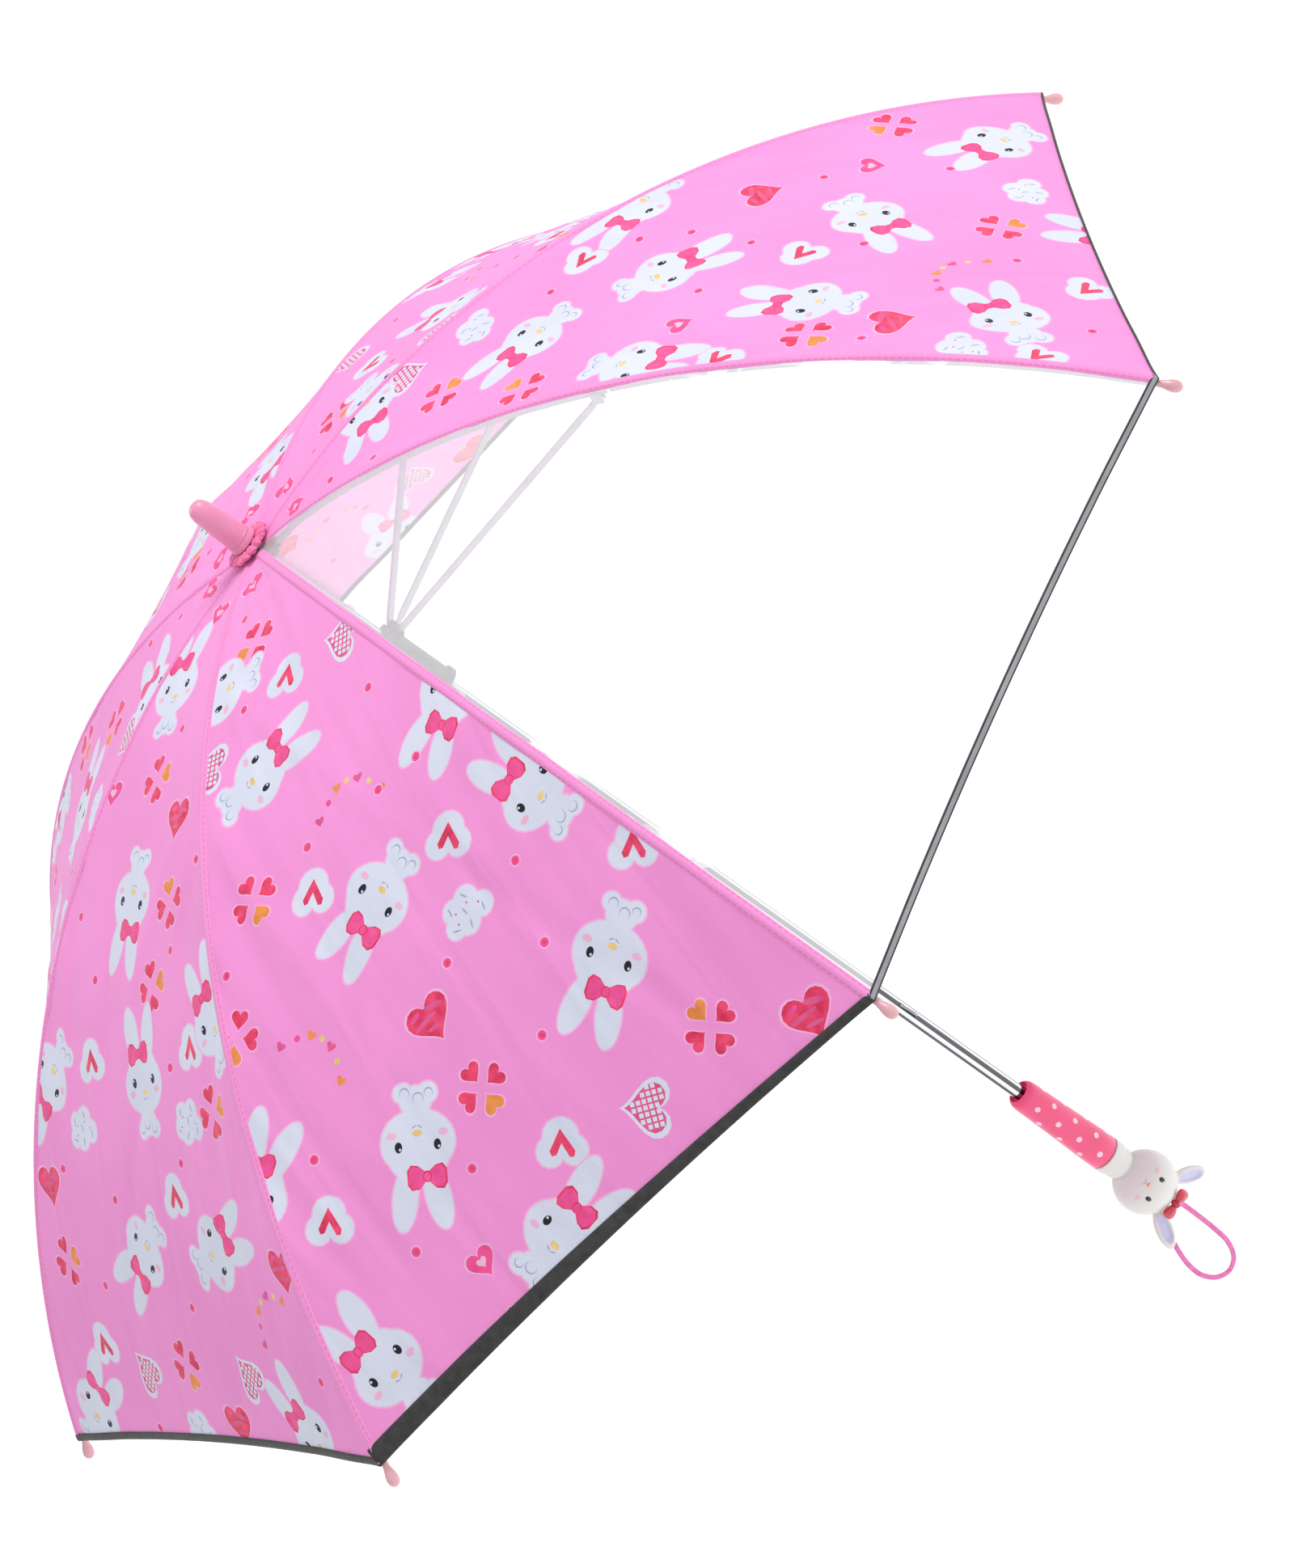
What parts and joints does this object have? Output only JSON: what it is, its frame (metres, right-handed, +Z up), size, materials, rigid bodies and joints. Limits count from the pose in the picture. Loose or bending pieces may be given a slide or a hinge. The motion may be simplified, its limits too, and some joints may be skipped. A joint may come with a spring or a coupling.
{
  "type": "children's umbrella",
  "caption": "Child-size stick umbrella standing open, with a pink printed canopy, one clear window panel, and a grip ending in a small animal head with a wrist cord.",
  "frame": {"origin": "centre of the hand grip, on the shaft's axis", "axes": "+Z up along the shaft, from the grip to the ferrule; the clear panel's middle faces -Y"},
  "size_m": [0.7794, 0.7794, 0.7348],
  "materials": {
    "steel": "satin",
    "chrome": "polished",
    "pink_fabric": "woven polyester",
    "clear_film": "clear film",
    "rosette_fabric": "gathered satin",
    "pale_pink": "gloss",
    "hot_pink": "gloss",
    "white": "gloss",
    "black": "satin",
    "red": "gloss",
    "cord": "woven cord"
  },
  "bodies": {
    "frame": {"shaft": "chrome", "crown_hub": "black", "crown_ring": "steel", "rosette": "rosette_fabric", "ferrule_cap": "pale_pink", "grip": "hot_pink", "collar": "white", "head": "white", "ear_left": "white", "ear_right": "white", "bow": "red", "wrist_loop": "cord"},
    "rib_1": {"rib_inner_1": "steel", "panel_1": "pink_fabric"},
    "rib_end_1": {"rib_outer_1": "steel", "rib_tip_1": "pale_pink"},
    "stretcher_1": {"stretcher_1": "steel"},
    "rib_2": {"rib_inner_2": "steel", "panel_2": "clear_film"},
    "rib_end_2": {"rib_outer_2": "steel", "rib_tip_2": "pale_pink"},
    "stretcher_2": {"stretcher_2": "steel"},
    "rib_3": {"rib_inner_3": "steel", "panel_3": "pink_fabric"},
    "rib_end_3": {"rib_outer_3": "steel", "rib_tip_3": "pale_pink"},
    "stretcher_3": {"stretcher_3": "steel"},
    "rib_4": {"rib_inner_4": "steel", "panel_4": "pink_fabric"},
    "rib_end_4": {"rib_outer_4": "steel", "rib_tip_4": "pale_pink"},
    "stretcher_4": {"stretcher_4": "steel"},
    "rib_5": {"rib_inner_5": "steel", "panel_5": "pink_fabric"},
    "rib_end_5": {"rib_outer_5": "steel", "rib_tip_5": "pale_pink"},
    "stretcher_5": {"stretcher_5": "steel"},
    "rib_6": {"rib_inner_6": "steel", "panel_6": "pink_fabric"},
    "rib_end_6": {"rib_outer_6": "steel", "rib_tip_6": "pale_pink"},
    "stretcher_6": {"stretcher_6": "steel"},
    "rib_7": {"rib_inner_7": "steel", "panel_7": "pink_fabric"},
    "rib_end_7": {"rib_outer_7": "steel", "rib_tip_7": "pale_pink"},
    "stretcher_7": {"stretcher_7": "steel"},
    "rib_8": {"rib_inner_8": "steel", "panel_8": "pink_fabric"},
    "rib_end_8": {"rib_outer_8": "steel", "rib_tip_8": "pale_pink"},
    "stretcher_8": {"stretcher_8": "steel"},
    "runner": {"runner": "black", "runner_ring": "steel"},
    "top_catch": {"top_catch": "steel"},
    "bottom_catch": {"bottom_catch": "steel"}
  },
  "joints": [
    {"name": "fold_1", "type": "hinge", "parent": "frame", "child": "rib_1", "pos_m": [0.00831, -0.00344, 0.5492], "axis": [0.3827, 0.9239, 0], "range_deg": [0, 76.5], "deforming": ["panel_1"]},
    {"name": "straighten_1", "type": "hinge", "parent": "rib_1", "child": "rib_end_1", "pos_m": [0.20168, -0.08354, 0.5118], "axis": [0.3827, 0.9239, 0], "range_deg": [-24, 0]},
    {"name": "stretch_1", "type": "hinge", "parent": "rib_1", "child": "stretcher_1", "pos_m": [0.19395, -0.08033, 0.51048], "axis": [0.3827, 0.9239, 0], "range_deg": [-153, 0]},
    {"name": "fold_2", "type": "hinge", "parent": "frame", "child": "rib_2", "pos_m": [0.00344, -0.00831, 0.5492], "axis": [0.9239, 0.3827, 0], "range_deg": [0, 76.5], "deforming": ["panel_2"]},
    {"name": "straighten_2", "type": "hinge", "parent": "rib_2", "child": "rib_end_2", "pos_m": [0.08354, -0.20168, 0.5118], "axis": [0.9239, 0.3827, 0], "range_deg": [-24, 0]},
    {"name": "stretch_2", "type": "hinge", "parent": "rib_2", "child": "stretcher_2", "pos_m": [0.08033, -0.19395, 0.51048], "axis": [0.9239, 0.3827, 0], "range_deg": [-153, 0]},
    {"name": "fold_3", "type": "hinge", "parent": "frame", "child": "rib_3", "pos_m": [-0.00344, -0.00831, 0.5492], "axis": [0.9239, -0.3827, 0], "range_deg": [0, 76.5], "deforming": ["panel_3"]},
    {"name": "straighten_3", "type": "hinge", "parent": "rib_3", "child": "rib_end_3", "pos_m": [-0.08354, -0.20168, 0.5118], "axis": [0.9239, -0.3827, 0], "range_deg": [-24, 0]},
    {"name": "stretch_3", "type": "hinge", "parent": "rib_3", "child": "stretcher_3", "pos_m": [-0.08033, -0.19395, 0.51048], "axis": [0.9239, -0.3827, 0], "range_deg": [-153, 0]},
    {"name": "fold_4", "type": "hinge", "parent": "frame", "child": "rib_4", "pos_m": [-0.00831, -0.00344, 0.5492], "axis": [0.3827, -0.9239, 0], "range_deg": [0, 76.5], "deforming": ["panel_4"]},
    {"name": "straighten_4", "type": "hinge", "parent": "rib_4", "child": "rib_end_4", "pos_m": [-0.20168, -0.08354, 0.5118], "axis": [0.3827, -0.9239, 0], "range_deg": [-24, 0]},
    {"name": "stretch_4", "type": "hinge", "parent": "rib_4", "child": "stretcher_4", "pos_m": [-0.19395, -0.08033, 0.51048], "axis": [0.3827, -0.9239, 0], "range_deg": [-153, 0]},
    {"name": "fold_5", "type": "hinge", "parent": "frame", "child": "rib_5", "pos_m": [-0.00831, 0.00344, 0.5492], "axis": [-0.3827, -0.9239, 0], "range_deg": [0, 76.5], "deforming": ["panel_5"]},
    {"name": "straighten_5", "type": "hinge", "parent": "rib_5", "child": "rib_end_5", "pos_m": [-0.20168, 0.08354, 0.5118], "axis": [-0.3827, -0.9239, 0], "range_deg": [-24, 0]},
    {"name": "stretch_5", "type": "hinge", "parent": "rib_5", "child": "stretcher_5", "pos_m": [-0.19395, 0.08033, 0.51048], "axis": [-0.3827, -0.9239, 0], "range_deg": [-153, 0]},
    {"name": "fold_6", "type": "hinge", "parent": "frame", "child": "rib_6", "pos_m": [-0.00344, 0.00831, 0.5492], "axis": [-0.9239, -0.3827, 0], "range_deg": [0, 76.5], "deforming": ["panel_6"]},
    {"name": "straighten_6", "type": "hinge", "parent": "rib_6", "child": "rib_end_6", "pos_m": [-0.08354, 0.20168, 0.5118], "axis": [-0.9239, -0.3827, 0], "range_deg": [-24, 0]},
    {"name": "stretch_6", "type": "hinge", "parent": "rib_6", "child": "stretcher_6", "pos_m": [-0.08033, 0.19395, 0.51048], "axis": [-0.9239, -0.3827, 0], "range_deg": [-153, 0]},
    {"name": "fold_7", "type": "hinge", "parent": "frame", "child": "rib_7", "pos_m": [0.00344, 0.00831, 0.5492], "axis": [-0.9239, 0.3827, 0], "range_deg": [0, 76.5], "deforming": ["panel_7"]},
    {"name": "straighten_7", "type": "hinge", "parent": "rib_7", "child": "rib_end_7", "pos_m": [0.08354, 0.20168, 0.5118], "axis": [-0.9239, 0.3827, 0], "range_deg": [-24, 0]},
    {"name": "stretch_7", "type": "hinge", "parent": "rib_7", "child": "stretcher_7", "pos_m": [0.08033, 0.19395, 0.51048], "axis": [-0.9239, 0.3827, 0], "range_deg": [-153, 0]},
    {"name": "fold_8", "type": "hinge", "parent": "frame", "child": "rib_8", "pos_m": [0.00831, 0.00344, 0.5492], "axis": [-0.3827, 0.9239, 0], "range_deg": [0, 76.5], "deforming": ["panel_8"]},
    {"name": "straighten_8", "type": "hinge", "parent": "rib_8", "child": "rib_end_8", "pos_m": [0.20168, 0.08354, 0.5118], "axis": [-0.3827, 0.9239, 0], "range_deg": [-24, 0]},
    {"name": "stretch_8", "type": "hinge", "parent": "rib_8", "child": "stretcher_8", "pos_m": [0.19395, 0.08033, 0.51048], "axis": [-0.3827, 0.9239, 0], "range_deg": [-153, 0]},
    {"name": "runner_slide", "type": "hinge", "parent": "stretcher_1", "child": "runner", "pos_m": [0.00831, -0.00344, 0.47175], "axis": [0.3827, 0.9239, 0], "range_deg": [0, 76.5]},
    {"name": "top_catch_press", "type": "slide", "parent": "frame", "child": "top_catch", "axis": [0, 1, 0], "range_m": [0, 0.0021], "stiffness_N_per_m": 600, "springref_m": -0.0008},
    {"name": "bottom_catch_press", "type": "slide", "parent": "frame", "child": "bottom_catch", "axis": [0, 1, 0], "range_m": [0, 0.0021], "stiffness_N_per_m": 600, "springref_m": -0.0008}
  ],
  "couplings": [
    {"joint": "straighten_1", "follows": "fold_1", "ratio": -0.31373},
    {"joint": "stretch_1", "follows": "fold_1", "ratio": -2},
    {"joint": "fold_2", "follows": "fold_1", "ratio": 1},
    {"joint": "straighten_2", "follows": "fold_1", "ratio": -0.31373},
    {"joint": "stretch_2", "follows": "fold_1", "ratio": -2},
    {"joint": "fold_3", "follows": "fold_1", "ratio": 1},
    {"joint": "straighten_3", "follows": "fold_1", "ratio": -0.31373},
    {"joint": "stretch_3", "follows": "fold_1", "ratio": -2},
    {"joint": "fold_4", "follows": "fold_1", "ratio": 1},
    {"joint": "straighten_4", "follows": "fold_1", "ratio": -0.31373},
    {"joint": "stretch_4", "follows": "fold_1", "ratio": -2},
    {"joint": "fold_5", "follows": "fold_1", "ratio": 1},
    {"joint": "straighten_5", "follows": "fold_1", "ratio": -0.31373},
    {"joint": "stretch_5", "follows": "fold_1", "ratio": -2},
    {"joint": "fold_6", "follows": "fold_1", "ratio": 1},
    {"joint": "straighten_6", "follows": "fold_1", "ratio": -0.31373},
    {"joint": "stretch_6", "follows": "fold_1", "ratio": -2},
    {"joint": "fold_7", "follows": "fold_1", "ratio": 1},
    {"joint": "straighten_7", "follows": "fold_1", "ratio": -0.31373},
    {"joint": "stretch_7", "follows": "fold_1", "ratio": -2},
    {"joint": "fold_8", "follows": "fold_1", "ratio": 1},
    {"joint": "straighten_8", "follows": "fold_1", "ratio": -0.31373},
    {"joint": "stretch_8", "follows": "fold_1", "ratio": -2},
    {"joint": "runner_slide", "follows": "fold_1", "ratio": 1}
  ]
}
